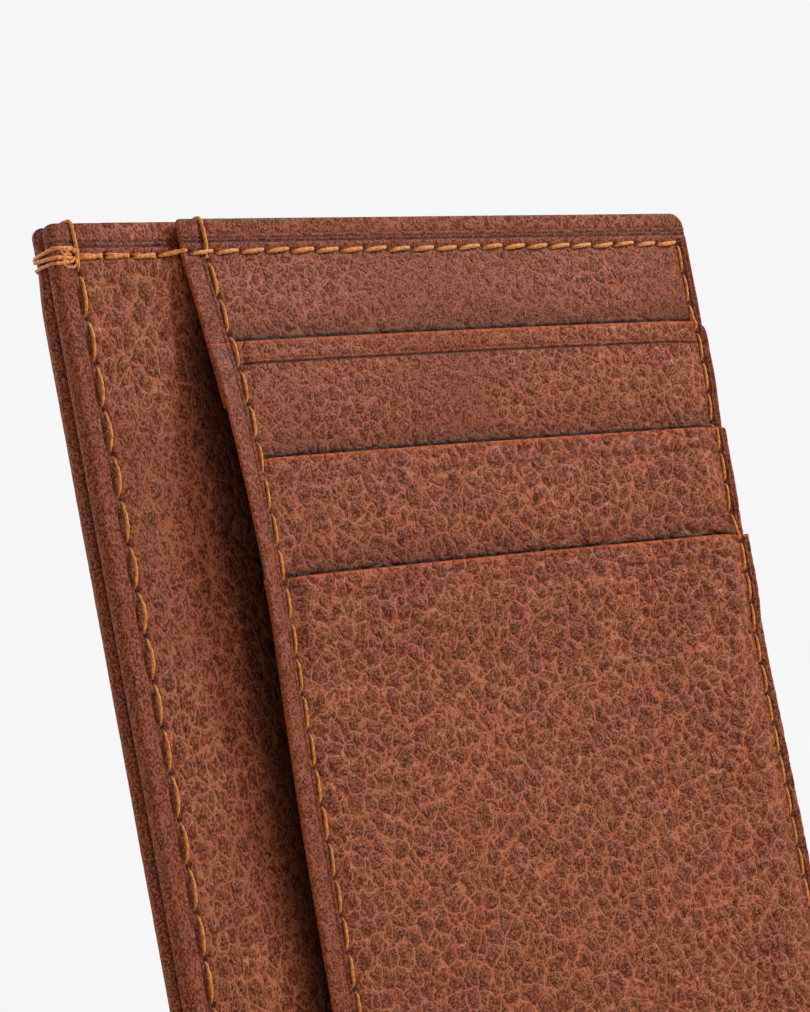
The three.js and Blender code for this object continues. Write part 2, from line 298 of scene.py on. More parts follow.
def ticks(runs, low_radius, high_radius):
    """Grid places along runs of (start, stop, step), with arcs of the edges' radii at both ends."""
    places = np.concatenate([np.linspace(a, b, max(1, round((b - a) / s)) + 1) for a, b, s in runs])
    low, high = runs[0][0], runs[-1][1]
    arc = 1 - np.cos(np.radians(np.arange(0, 91, 15)))
    middle = places[(places > low + low_radius * 1.1) & (places < high - high_radius * 1.1)]
    places = np.concatenate([low + low_radius * arc, middle, high - high_radius * arc])
    return np.unique(np.round(places, 5))


def sheet(name, runs_x, runs_z, outer, inner, radii, skin, look, corner=(0, 0, 0, 0), coarse=5):
    """A ply with a thickness. outer and inner give the depths of its two faces. The outer face has the
    fine grid and the skin, and the inner one keeps one grid line in so many. radii: how far each edge is
    rounded, left, right, bottom, top. corner: the outline's radii, bottom left, bottom right, top left,
    top right."""
    r_left, r_right, r_bottom, r_top = radii
    xs, zs = ticks(runs_x, r_left, r_right), ticks(runs_z, r_bottom, r_top)

    def face(px, pz, is_outer):
        x, z = np.meshgrid(px, pz, indexing="ij")
        sides = [x - xs[0], xs[-1] - x, z - zs[0], zs[-1] - z]
        turn = np.zeros(x.shape)
        for distance, radius in zip(sides, radii):
            turn = np.maximum(turn, np.clip(1 - distance / radius, 0, 1))
        x, z = x.copy(), z.copy()
        for which, size in enumerate(corner):
            if not size:
                continue
            at_x, at_z = which % 2, which // 2
            du, dv = sides[at_x], sides[2 + at_z]
            inside = (du < size) & (dv < size)
            u, v = 1 - du[inside] / size, 1 - dv[inside] / size
            nu, nv = u * np.sqrt(1 - v * v / 2), v * np.sqrt(1 - u * u / 2)
            reach = np.hypot(nu, nv)
            radius = radii[at_x] * u / (u + v + 1e-9) + radii[2 + at_z] * v / (u + v + 1e-9)
            turn[inside] = np.clip(1 - size * (1 - reach) / np.maximum(radius, 1e-6), 0, 1)
            centre_x = xs[-1] - size if at_x else xs[0] + size
            centre_z = zs[-1] - size if at_z else zs[0] + size
            x[inside] = centre_x + (1 if at_x else -1) * nu * size
            z[inside] = centre_z + (1 if at_z else -1) * nv * size
        top, bottom = outer(x, z), inner(x, z)
        flat = np.sqrt(np.clip(1 - turn * turn, 0, 1))
        shade = np.zeros(x.shape + (4,))
        if is_outer:
            height, marks = skin(x, z, turn)
            sign = np.sign(top - bottom)
            depth = (top + bottom) / 2 + flat * ((top - bottom) / 2 + sign * height)
            shade[:] = np.stack(marks, axis=-1)
        else:
            depth = (top + bottom) / 2 - flat * (top - bottom) / 2
            shade[..., 0] = INNER_CREASE
        return place(x, depth, z).reshape(-1, 3), shade.reshape(-1, 4)

    nx, nz = len(xs), len(zs)
    points, shades = face(xs, zs, True)

    def kept(n):
        return np.unique(np.r_[1:EDGE_LINES, EDGE_LINES:n - EDGE_LINES:coarse, n - EDGE_LINES:n - 1])

    ii, jj = kept(nx), kept(nz)
    behind, behind_shades = face(xs[ii], zs[jj], False)
    front = np.arange(nx * nz).reshape(nx, nz)
    rear = nx * nz + np.arange(len(ii) * len(jj)).reshape(len(ii), len(jj))

    def quads(grid, flip):
        a, b, c, d = grid[:-1, :-1], grid[1:, :-1], grid[1:, 1:], grid[:-1, 1:]
        order = (a, d, c, b) if flip else (a, b, c, d)
        return np.stack([p.ravel() for p in order], axis=1)

    rim = []
    for k in range(len(ii) - 1):
        rim.append([*front[ii[k]:ii[k + 1] + 1, 0], rear[k + 1, 0], rear[k, 0]][::-1])
        rim.append([*front[ii[k]:ii[k + 1] + 1, -1], rear[k + 1, -1], rear[k, -1]])
    for k in range(len(jj) - 1):
        rim.append([*front[0, jj[k]:jj[k + 1] + 1], rear[0, k + 1], rear[0, k]])
        rim.append([*front[-1, jj[k]:jj[k + 1] + 1], rear[-1, k + 1], rear[-1, k]][::-1])
    rim.append([front[0, 0], front[0, 1], rear[0, 0], front[1, 0]])
    rim.append([front[-1, 1], front[-1, 0], front[-2, 0], rear[-1, 0]])
    rim.append([front[1, -1], rear[0, -1], front[0, -2], front[0, -1]])
    rim.append([rear[-1, -1], front[-2, -1], front[-1, -1], front[-1, -2]])
    faces = [quads(front, False).tolist(), quads(rear, True).tolist(), rim]
    return solid(name, np.vstack([points, behind]), sum(faces, []), look, np.vstack([shades, behind_shades]))


def solid(name, points, faces, look, shades=None):
    """An object from points in mm, with its faces turned outwards and its marks as vertex colours."""
    mesh = bpy.data.meshes.new(name)
    mesh.from_pydata((points * MM).tolist(), [], faces)
    mesh.update()
    a, b, c = (points[[f[k] for f in faces]] for k in range(3))
    volume = np.einsum("ij,ij->i", a, np.cross(b, c)).sum()
    if volume < 0:
        mesh.flip_normals()
    mesh.shade_smooth()
    if shades is not None:
        layer = mesh.attributes.new("marks", "FLOAT_COLOR", "POINT")
        layer.data.foreach_set("color", np.clip(shades, 0, 1).astype(np.float32).ravel())
    mesh.materials.append(look)
    piece = bpy.data.objects.new(name, mesh)
    bpy.context.scene.collection.objects.link(piece)
    return piece


def own(piece, node):
    """Puts a visual piece in the place of a CAD node."""
    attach(piece, "root")
    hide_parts(node)
    return piece


# ---------------------------------------------------------------- materials


class Look:
    """A material, with a short way to make and link its nodes."""

    def __init__(self, name):
        self.material = bpy.data.materials.new(name)
        self.material.use_nodes = True
        self.tree = self.material.node_tree
        self.shader = self.tree.nodes["Principled BSDF"]

    def add(self, kind, links=(), **settings):
        node = self.tree.nodes.new("ShaderNode" + kind)
        for key, value in settings.items():
            setattr(node, key, value)
        for key, value in dict(links).items():
            self.give(node.inputs[key], value)
        return node

    def give(self, socket, value):
        if isinstance(value, bpy.types.NodeSocket):
            self.tree.links.new(value, socket)
        else:
            socket.default_value = value

    def maths(self, operation, a, b=None, c=None):
        node = self.add("Math", operation=operation)
        for socket, value in zip(node.inputs, (a, b, c)):
            if value is not None:
                self.give(socket, value)
        return node.outputs[0]

    def mix(self, amount, a, b):
        """A colour between a and b."""
        node = self.add("Mix", data_type="RGBA")
        for socket, value in ((node.inputs[0], amount), (node.inputs[6], a), (node.inputs[7], b)):
            self.give(socket, value)
        return node.outputs[2]

    def between(self, value, low, high, out_low=0.0, out_high=1.0):
        """Eases from one value to another while the input goes from low to high."""
        node = self.add("MapRange", interpolation_type="SMOOTHSTEP")
        keys = ("Value", "From Min", "From Max", "To Min", "To Max")
        for key, given in zip(keys, (value, low, high, out_low, out_high)):
            self.give(node.inputs[key], given)
        return node.outputs[0]

    def coordinates(self, squeeze=(1, 1, 1)):
        """The object's own coordinates in mm."""
        where = self.add("TexCoord")
        scale = [s / MM for s in squeeze]
        return self.add("Mapping", {"Vector": where.outputs["Object"], "Scale": scale}).outputs[0]

    def times(self, a, b):
        return self.maths("MULTIPLY", a, b)

    def noise(self, at, scale, detail):
        return self.add("TexNoise", {"Vector": at, "Scale": scale, "Detail": detail})

    def to_border(self, at, scale):
        """How far a place is from the nearest border of a pattern of cells."""
        node = self.add("TexVoronoi", {"Vector": at, "Scale": scale}, feature="DISTANCE_TO_EDGE")
        return node.outputs["Distance"]

    def surface(self, colour, roughness, height, distance, **fixed):
        """Links the shader. distance: the bump's height in metres. fixed: other inputs, by name."""
        bump = self.add("Bump", {"Height": height, "Strength": 1.0, "Distance": distance})
        self.give(self.shader.inputs["Base Color"], colour)
        self.give(self.shader.inputs["Roughness"], roughness)
        self.give(self.shader.inputs["Normal"], bump.outputs[0])
        for key, value in fixed.items():
            self.shader.inputs[key.replace("_", " ")].default_value = value
        return self.material


def rgb(r, g, b):
    """A colour from sRGB 0 to 255, as linear."""
    linear = [((c / 255 + 0.055) / 1.055) ** 2.4 if c > 10 else c / 255 / 12.92 for c in (r, g, b)]
    return (*linear, 1)


def leather(name, pebble_scale=0.58, squeeze=(1, 1, 1)):
    """Waxed leather: light veins round pebbles with dark middles, fine cracks and pores. The marks are
    crease in red, worn edge in green, dark lines and painted shade (needle holes, slots, the strip beside
    the stack) in blue, and the pebbles' strength in alpha."""
    look = Look(name)
    at = look.coordinates(squeeze)
    swirl = look.noise(at, 1.2, 1.0).outputs["Color"]
    warp = {0: swirl, 1: (1.1, 1.1, 1.1), 2: at}
    moved = look.add("VectorMath", warp, operation="MULTIPLY_ADD").outputs[0]
    grain = look.to_border(moved, pebble_scale)
    cracks = look.to_border(moved, 1.9)
    pores = look.noise(at, 4.6, 0.0)
    cloud = look.noise(at, 0.3, 2.0)
    marks = look.add("Attribute", attribute_name="marks")
    parts = look.add("SeparateColor", {"Color": marks.outputs["Color"]})
    crease, wear, dark, pebbly = *(parts.outputs[k] for k in range(3)), marks.outputs["Alpha"]

    speck = look.between(pores.outputs["Fac"], 0.35, 0.65)
    vein = look.times(look.between(grain, 0.015, 0.06, 1.0, 0.0), pebbly)
    rim = look.times(look.between(grain, 0.05, 0.3, 1.0, 0.0), pebbly)
    patch = look.between(cloud.outputs["Fac"], 0.35, 0.65, 0.55, 1.0)
    middle = look.times(look.times(look.between(grain, 0.1, 0.34), pebbly), patch)
    crack = look.between(cracks, 0.03, 0.13, 0.6, 0.0)
    beside = look.between(cracks, 0.12, 0.24, 0.42, 0.06)
    ridge = look.maths("MAXIMUM", look.times(beside, speck), look.times(vein, 0.62))
    furrow = look.maths("MAXIMUM", crack, look.maths("MULTIPLY_ADD", speck, -0.5, 0.25))
    worn = look.times(wear, look.maths("MULTIPLY_ADD", speck, 0.5, 0.4))

    colour = look.mix(look.times(rim, 0.5), rgb(110, 47, 27), rgb(134, 62, 36))
    for amount, tint in (
        (look.times(middle, 0.5), rgb(72, 31, 23)),
        (look.times(crease, 0.3), rgb(176, 92, 58)),
        (furrow, rgb(30, 5, 0)),
        (ridge, rgb(204, 122, 88)),
        (worn, rgb(190, 84, 36)),
        # painted shade: the blue mark darkens needle holes, slot lines and the strip beside the stack
        (look.times(dark, 0.95), rgb(30, 6, 2)),
    ):
        colour = look.mix(amount, colour, tint)

    height = look.maths("MULTIPLY_ADD", furrow, -0.35, look.times(rim, -1.0))
    rough = look.maths("MULTIPLY_ADD", ridge, -0.2, 0.6)
    return look.surface(colour, rough, height, 0.00012, Specular_IOR_Level=0.12)


def thread_look(name):
    """Waxed thread with paler and darker strands, and some fuzz."""
    look = Look(name)
    at = look.coordinates()
    strands = look.noise(at, 3.2, 2.0)
    fuzz = look.noise(at, 9.0, 2.0)
    colour = look.mix(look.between(strands.outputs["Fac"], 0.35, 0.65), rgb(196, 104, 28), rgb(232, 150, 60))
    colour = look.mix(look.between(fuzz.outputs["Fac"], 0.55, 0.75, 0.0, 0.5), colour, rgb(140, 66, 26))
    height = look.maths("ADD", fuzz.outputs["Fac"], strands.outputs["Fac"])
    return look.surface(colour, 0.55, height, 0.00005, Specular_IOR_Level=0.35, Sheen_Weight=0.25)


def cloth_look(name):
    """Dark woven pocket cloth."""
    look = Look(name)
    at = look.coordinates()
    across, along = (
        look.add(
            "TexWave", {"Vector": at, "Scale": 0.55, "Distortion": 0.6, "Detail Scale": 2.0},
            bands_direction=direction).outputs["Fac"]
        for direction in "XZ"
    )
    weave = look.times(across, along)
    dirt = look.noise(at, 0.4, 3.0)
    colour = look.mix(weave, rgb(44, 28, 22), rgb(84, 56, 44))
    colour = look.mix(look.between(dirt.outputs["Fac"], 0.35, 0.7, 0.0, 0.4), colour, rgb(58, 38, 30))
    return look.surface(colour, 0.9, weave, 0.00008, Specular_IOR_Level=0.2, Sheen_Weight=0.3)


PEBBLED = leather("pebbled_leather")
SMOOTH = leather("smooth_leather", pebble_scale=0.72)
STRIP = leather("strip_leather", squeeze=(1.15, 1.15, 0.85))
THREAD = thread_look("orange_thread")
CLOTH = cloth_look("pocket_cloth")

# ---------------------------------------------------------------- skins

# A skin gives a face's extra height in mm and its marks. turn is 0 on the flat and 1 at the edge.
FULL_PEBBLE = 0.16  # the pebbles' height in mm from which they also show fully in the colour


def plain_skin(x, z, turn):
    zero = np.zeros(x.shape)
    return zero, (zero + 0.1, zero, zero, zero)


def grained(x, z, turn, amount, wide, tall, seed, seams, grooves=0.0, lines=0.0, wear=0.0, edge_wear=0.8):
    """The height and the marks that every leather face shares. amount: the pebbles' height in mm. lines:
    dark creased lines and painted shade, put with the needle holes' painted shade into the blue mark.
    """
    dome, crease = pebbles(x, z, wide, tall, seed)
    dents = noise(x / 5.5, z / 5.5, seed + 20) + 0.5 * noise(x / 2.3, z / 2.3, seed + 21) - 0.75
    strength = amount * (0.55 + 0.9 * noise(x / 6, z / 6, seed + 30))
    trough, pit = seam_marks(x, z, seams)
    calm = 1 - np.clip(trough * 0.7 + grooves, 0, 1)
    height = strength * calm * (dome - 0.8) + 0.09 * dents
    height = height - 0.15 * trough - 0.3 * pit - 0.2 * grooves
    rub = 0.35 + 1.1 * noise(x / 0.9, z / 0.9, seed + 40)
    pebbly = np.clip(strength / FULL_PEBBLE, 0, 1) * calm
    return height, (
        crease * pebbly,
        np.clip((wear + edge_wear * turn ** 2) * rub, 0, 1),
        # blue: painted shade in the needle holes, with the dark lines and painted shade given as lines
        np.clip(0.95 * pit + lines, 0, 1),
        pebbly,
    )


def border_lines(x):
    """The thin lines in the border outside the right seam."""
    return groove(x - RIGHT + 0.95, 0.1) + 0.8 * groove(x - RIGHT + 0.5, 0.09)


def mouth_lines(z, mouth, strong):
    """The creased line below a pocket's mouth, and the orange wear on its edge and along the line."""
    below = mouth - z
    lines = groove(below - 2.1, 0.13) + 0.4 * groove(below - 1.7, 0.1)
    return strong * lines, 1.3 * groove(below, 0.3) + 0.5 * strong * groove(below - 1.9, 0.1)


def slot_shade(z, slot):
    """The painted shadow line where a ply goes down into the slot of the next one, and painted shade on the
    leather above it.
    """
    above = z - slot
    return groove(above - 0.1, 0.22) + 0.42 * near(above, 2.0)


def stack_left_lines(x):
    """The thin line in the border outside the stack's left seam."""
    return groove(x - SEAM_STACK + 0.72, 0.12) * 0.8


def across_stack(x):
    """1 between the stack's two seams, falling to 0 in the borders outside them."""
    return ramp(x, SEAM_STACK, 0.8) * np.clip((SEAM_RIGHT - x) / 0.8, 0, 1)


def panel_skin(mouth, amount, wide, tall, seed, strong, seams=("stack", "right"), slot=None):
    """The skin of a pocket, with its grain stronger towards the right. strong: its mouth's line. slot: the
    next pocket's mouth."""
    def skin(x, z, turn):
        lines, wear = mouth_lines(z, mouth, strong)
        inner = across_stack(x)
        grooves = lines * inner + stack_left_lines(x) + border_lines(x)
        shade = 0.75 * grooves + (slot_shade(z, slot) * inner if slot else 0)
        gain = amount * (1 + 0.6 * ramp(x, 5, 30)) * (0.35 + 0.65 * inner)
        return grained(x, z, turn, gain, wide, tall, seed, seams, grooves, shade, wear)
    return skin


def band_skin(x, z, turn):
    below = TOP - z
    lines = groove(below - 2.15, 0.12) + 0.8 * groove(below - 1.8, 0.1) + 0.5 * groove(below - 1.4, 0.1)
    inner = across_stack(x)
    grooves = lines + (stack_left_lines(x) + border_lines(x)) * ramp(below, 2.5, 0.5)
    gain = 0.1 * (0.3 + 0.7 * inner)
    shade = 0.7 * grooves + slot_shade(z, SLOT_1) * inner
    return grained(x, z, turn, gain, 1.7, 1.4, 11, ("top", "stack", "right"), grooves, shade)


def divider_skin(x, z, turn):
    below = TOP - z
    lines = groove(below - 2.25, 0.11) + 0.8 * groove(below - 1.8, 0.11)
    fold = groove(x - SEAM_DIVIDER + 0.5, 0.12)
    grooves = lines + fold * 0.8 * ramp(below, 2.5, 0.5)
    # Painted shadow: the strip is darkened next to the stack's lifted left edge, where its shadow falls
    painted_stack_shadow = 0.75 * np.clip(1 - (STACK_LEFT - x) / 2.6, 0, 1) * ramp(below, 4, 8)
    gain = 0.14 * (0.3 + 0.7 * ramp(x, SEAM_DIVIDER, 1.0))
    shade = 0.7 * grooves + painted_stack_shadow
    return grained(
        x, z, turn, gain, 1.6, 2.0, 41, ("top", "bottom", "divider"), grooves, shade, edge_wear=0.1)


def back_skin(x, z, turn):
    gain = 0.15 * (0.3 + 0.7 * ramp(x, SEAM_BACK, 1.0))
    return grained(x, z, turn, gain, 2.0, 1.7, 71, ("top", "bottom", "right", "back"), edge_wear=0.15)


# ---------------------------------------------------------------- the leather pieces


def constant(value):
    """A flat face."""
    return lambda x, z: np.full(x.shape, float(value))


def leaf_inside(plain, turned):
    """A leaf's hidden face, with the turned flap along its left edge."""
    return lambda x, z: plain + (turned - plain) * np.clip((LEFT + FLAP - x) / 0.6, 0, 1)


def border_depth(z):
    """The depth of the stack's front face in its pressed left border, from top to bottom."""
    return np.interp(z, [0, 60, SLOT_3, SLOT_2, SLOT_1, TOP], [4.6, 4.72, 4.75, 4.66, 4.55, band[1]])


def pocket_faces(course, mouth, thickness):
    """The front and back of a pocket's leather. In the border left of the seam all the pockets are
    pressed into one smooth edge, where each mouth is only a thin line."""
    def back(x, z):
        border = eased(np.clip((SEAM_STACK + 2.0 - x) / 1.7, 0, 1))
        return follow(course, z) * (1 - border) + (border_depth(z) - thickness) * border

    def front(x, z):
        border = np.clip((SEAM_STACK + 0.6 - x) / 0.9, 0, 1)
        lip = groove(mouth - z, 1.6)
        return back(x, z) + thickness * (1 - 0.4 * border * lip)
    return front, back


# Steps of the grids: over pebbles, across thin creases, and where another ply lies in front
FINE, CREASE, HIDDEN = 0.24, 0.11, 1.2
# The columns of a ply as wide as the stack: finer at the lines in both borders
WHOLE_X = [
    (STACK_LEFT, SEAM_STACK - 1.1, FINE), (SEAM_STACK - 1.1, SEAM_STACK - 0.4, CREASE),
    (SEAM_STACK - 0.4, RIGHT - 1.2, FINE), (RIGHT - 1.2, RIGHT, CREASE),
]
LEAF_CORNERS = (1.0, 1.6, 1.0, 1.6)


def slot_rows(low, slot, high):
    """Rows from low to high: finer where the ply goes down into a slot."""
    return [(low, slot - 0.3, FINE), (slot - 0.3, slot + 0.7, CREASE), (slot + 0.7, high, FINE)]


def mouth_rows(low, mouth, slot=None):
    """Rows of a pocket's grid: finer at its mouth, at the crease below it and at the next slot."""
    crease_low, crease_high, lip = mouth - 2.5, mouth - 1.5, mouth - 0.6
    panel = slot_rows(low, slot, crease_low) if slot else [(low, crease_low, FINE)]
    return [*panel, (crease_low, crease_high, CREASE), (crease_high, lip, FINE), (lip, mouth, CREASE)]


sheets = {}
sheets["back_panel"] = sheet(
    "back_leaf", [(LEFT, LEFT + 3, 0.25), (LEFT + 3, RIGHT, 0.36)], [(BOTTOM, TOP, 0.36)],
    constant(0), leaf_inside(LEAF, back_lining[1]), (0.72, 0.3, 0.3, 0.3), back_skin, PEBBLED, LEAF_CORNERS)
sheets["divider_panel"] = sheet(
    "divider_leaf", [(LEFT, STACK_LEFT + 2.5, FINE), (STACK_LEFT + 2.5, RIGHT, 1.6)],
    [(BOTTOM, 30, 0.34), (30, TOP - 2.6, FINE), (TOP - 2.6, TOP - 1.5, CREASE), (TOP - 1.5, TOP, FINE)],
    constant(DIVIDER_FRONT), leaf_inside(divider_lining[1] + GLUED, divider_lining[0]),
    (0.68, 0.3, 0.3, 0.3), divider_skin, STRIP, LEAF_CORNERS)
sheets["top_band"] = sheet(
    "top_band_leather", WHOLE_X, [
        (BAND_END, SLOT_1 - 1, HIDDEN), *slot_rows(SLOT_1 - 1, SLOT_1, TOP - 2.5),
        (TOP - 2.5, TOP - 1.2, CREASE), (TOP - 1.2, TOP, FINE),
    ],
    constant(band[1]), constant(band[0]), (0.24, 0.2, 0.2, 0.24), band_skin, SMOOTH, (0, 0, 0.5, 1.6))
for node, course, end, slot, mouth, gain, wide, tall, seed, strong, look, corner in (
    ("upper_pocket", UPPER_COURSE, UPPER_END, SLOT_2, SLOT_1, 0.13, 1.7, 1.4, 23, 1.3, SMOOTH, 1.5),
    ("middle_pocket", MIDDLE_COURSE, MIDDLE_END, SLOT_3, SLOT_2, 0.2, 2.0, 1.6, 31, 0.35, PEBBLED, 0.4),
):
    front, back = pocket_faces(course, mouth, POCKET)
    skin = panel_skin(mouth, gain, wide, tall, seed, strong, slot=slot)
    sheets[node] = sheet(
        node + "_leather", WHOLE_X, [(end, slot - 1, HIDDEN), *mouth_rows(slot - 1, mouth, slot)],
        front, back, (0.22, 0.2, 0.15, 0.22), skin, look, (0, 0, 0, corner))
front, back = pocket_faces(FRONT_COURSE, SLOT_3, FRONT)
sheets["front_pocket"] = sheet(
    "front_pocket_leather", WHOLE_X, [(BOTTOM, 30, 0.32), *mouth_rows(30, SLOT_3)],
    front, back, (0.3, 0.28, 0.25, 0.32),
    panel_skin(SLOT_3, 0.24, 2.1, 1.75, 53, 0.3, ("stack", "right", "bottom")), PEBBLED, (0, 1.6, 0, 0))
for node, piece in sheets.items():
    own(piece, node)

# ---------------------------------------------------------------- linings and pocket cloth


def woven(depth):
    """A face with a cloth's slight waviness."""
    return lambda x, z: depth + 0.012 * np.sin(x * 2.6) * np.sin(z * 2.6)


def cloth(node, name):
    """A flat cloth as large as its CAD node, laid on another piece."""
    low, high = span(node)
    back, front = ply(node)
    step = 0.6
    piece = sheet(
        name, [(low[0], high[0], step)], [(low[2], high[2], step)], woven(front), woven(back),
        (0.1, 0.1, 0.1, 0.1), plain_skin, CLOTH, coarse=2)
    own(piece, node)


cloth("back_lining", "back_leaf_lining")
cloth("divider_lining", "divider_leaf_lining")
cloth("card_backing", "card_stack_backing")
cloth("upper_pocket_tail", "upper_pocket_cloth")
cloth("middle_pocket_tail", "middle_pocket_cloth")

# ---------------------------------------------------------------- threads


def tube(path, radius, sides=8, twist=5.0):
    """A twisted two-ply strand along a path in mm, closed at both ends."""
    path = np.asarray(path, float)
    count = len(path)
    tangent = np.gradient(path, axis=0)
    tangent /= np.linalg.norm(tangent, axis=1)[:, None] + 1e-12
    length = np.r_[0, np.cumsum(np.linalg.norm(np.diff(path, axis=0), axis=1))]
    normal = np.cross(tangent[0], (0.3, 0.2, 0.9) if abs(tangent[0][2]) < 0.8 else (1, 0.1, 0))
    rings = []
    for k in range(count):
        normal = normal - tangent[k] * normal.dot(tangent[k])
        normal /= np.linalg.norm(normal)
        side = np.cross(tangent[k], normal)
        angle = np.arange(sides) * 2 * math.pi / sides
        size = radius[k] * (1 + 0.17 * np.cos(2 * (angle - twist * length[k])))
        rings.append(path[k] + np.outer(size * np.cos(angle), normal) + np.outer(size * np.sin(angle), side))
    points = np.vstack(rings)
    faces = []
    for k in range(count - 1):
        for s in range(sides):
            a, b = k * sides + s, k * sides + (s + 1) % sides
            faces.append([a, b, b + sides, a + sides])
    faces.append([*range(sides)][::-1])
    faces.append([*range((count - 1) * sides, count * sides)])
    return points, faces


def bundle(name, node, tubes):
    """One thread piece out of many tubes."""
    points, faces, start = [], [], 0
    for p, f in tubes:
        points.append(p)
        faces += [[i + start for i in face] for face in f]
        start += len(p)
    own(solid(name, np.vstack(points), faces, THREAD), node)


def stack_front(x, z):
    """The depth of the card stack's visible face."""
    upper, middle, lower = (pocket_faces(*p)[0](x, z) for p in (
        (UPPER_COURSE, SLOT_1, POCKET), (MIDDLE_COURSE, SLOT_2, POCKET), (FRONT_COURSE, SLOT_3, FRONT)))
    return np.where(z > SLOT_1, band[1], np.where(z > SLOT_2, upper, np.where(z > SLOT_3, middle, lower)))


def visible_front(x, z):
    """The depth of the wallet's visible face, on the stack or beside it."""
    return np.where(x < STACK_LEFT, DIVIDER_FRONT, stack_front(x, z))


HOLE_DEPTH, ON_LEATHER = -0.28, 0.07  # how far a stitch's middle line goes down, and lies above


def stitch(seam, start, end, surface, outward, slant, radius, rng, sunk):
    """One stitch between two holes: it comes up out of one, lies on the leather and dives into the next."""
    along, at = SEAMS[seam][:2]
    t = np.linspace(0, 1, 11)
    run = start + (end - start) * (0.06 + 0.88 * t)
    off = slant * (2 * t - 1) + rng.normal(0, 0.025) + 0.05 * np.sin(math.pi * t) * rng.normal()
    x, z = (run, at + off) if along == "x" else (at + off, run)
    base = surface(x, z)
    line = np.interp(t, [0, 1], [base[0], base[-1]])
    base = np.maximum(base * outward, line * outward) * outward
    rise = HOLE_DEPTH + (ON_LEATHER - sunk - HOLE_DEPTH) * (1 - np.abs(2 * t - 1) ** 5)
    size = radius * (0.55 + 0.45 * np.sin(math.pi * t) ** 0.6) * (1 + rng.normal(0, 0.05))
    return tube(place(x, base + outward * rise, z), size)


def row(seam, surface, outward, slant, radius, seed, sunk=0.0, until=math.inf):
    """The stitches on one side of a seam. outward: 1 on the front, -1 on the back. slant: how far a stitch
    leans over at its ends. sunk: how far it is pulled into the leather. until: where the row ends."""
    rng = np.random.default_rng(seed)
    places = holes(seam)
    return [
        stitch(seam, a, b, surface, outward, slant, radius, rng, sunk)
        for a, b in zip(places[:-1], places[1:]) if b <= until
    ]


def over_the_edge(x, front, back, slant, radius=0.17, count=25):
    """A strand that runs from a seam over the wallet's top edge and down behind it."""
    z = [TOP + up for up in (-3.6, -2.4, -1.0, -0.1, 0.12, 0.12, -0.1, -1.0, -2.2)]
    depth = [front + off for off in (-0.3, 0.1, 0.1, 0.06, -0.3)]
    depth += [back + off for off in (0.3, -0.06, -0.1, 0.2)]
    t = np.linspace(0, 1, len(z))
    fine = np.linspace(0, 1, count)
    xs = x + slant * (fine - 0.2)
    path = place(xs, np.interp(fine, t, depth), np.interp(fine, t, z))
    return tube(path, np.full(count, radius))


flat_back = constant(0)
divider_face = constant(DIVIDER_FRONT)
BELOW_EDGE = TOP - 3  # where a hidden row ends, clear of the strand over the top edge
bundle("perimeter_stitches_front", "perimeter_thread_front", [
    *row("top", visible_front, 1, 0.13, 0.21, 3),
    *row("bottom", visible_front, 1, 0.13, 0.21, 4),
    *row("right", stack_front, 1, 0.08, 0.15, 5, sunk=0.1),
    *row("top", visible_front, 1, -0.16, 0.16, 21, until=STACK_LEFT),
    *row("bottom", visible_front, 1, -0.16, 0.16, 21, until=STACK_LEFT),
])
bundle("perimeter_stitches_back", "perimeter_thread_back", [
    *row("top", flat_back, -1, 0.1, 0.2, 6),
    *row("bottom", flat_back, -1, 0.1, 0.2, 7),
    *row("right", flat_back, -1, 0.1, 0.2, 8),
])
bundle("card_edge_stitches_front", "card_edge_thread_front", [
    *row("stack", stack_front, 1, 0.12, 0.15, 9),
    over_the_edge(SEAM_STACK, band[1], DIVIDER_FRONT + 0.4, -0.5),
])
bundle("card_edge_stitches_back", "card_edge_thread_back",
       row("stack", constant(card_backing[0]), -1, 0.08, 0.12, 10, until=BELOW_EDGE))
bundle("divider_edge_stitches_front", "divider_edge_thread_front", [
    *row("divider", divider_face, 1, 0.09, 0.16, 11),
    over_the_edge(SEAM_DIVIDER, DIVIDER_FRONT, divider_lining[0], -0.6),
])
bundle("divider_edge_stitches_back", "divider_edge_thread_back",
       row("divider", constant(divider_lining[0]), -1, 0.08, 0.12, 12, until=BELOW_EDGE))
bundle("back_edge_stitches_front", "back_edge_thread_front",
       row("back", constant(back_lining[1]), 1, 0.08, 0.12, 13))
bundle("back_edge_stitches_back", "back_edge_thread_back", row("back", flat_back, -1, 0.1, 0.19, 14))


def floor_row(node, name, seed):
    """The straight row of small stitches that closes a hidden pocket floor."""
    low, high = span(node)
    depth = (BACK - low[1] + BACK - high[1]) / 2
    rng = np.random.default_rng(seed)
    tubes = []
    places = np.linspace(low[0], high[0], round((high[0] - low[0]) / 3) + 1)
    for a, b in zip(places[:-1], places[1:]):
        t = np.linspace(0, 1, 7)
        x = a + (b - a) * (0.04 + 0.92 * t)
        z = (low[2] + high[2]) / 2 + 0.06 * (2 * t - 1) + rng.normal(0, 0.02)
        size = 0.1 * (0.5 + 0.5 * np.sin(math.pi * t))
        tubes.append(tube(place(x, depth, z), size))
    bundle(name, node, tubes)


floor_row("upper_pocket_floor_thread", "upper_floor_stitches", 15)
floor_row("middle_pocket_floor_thread", "middle_floor_stitches", 16)


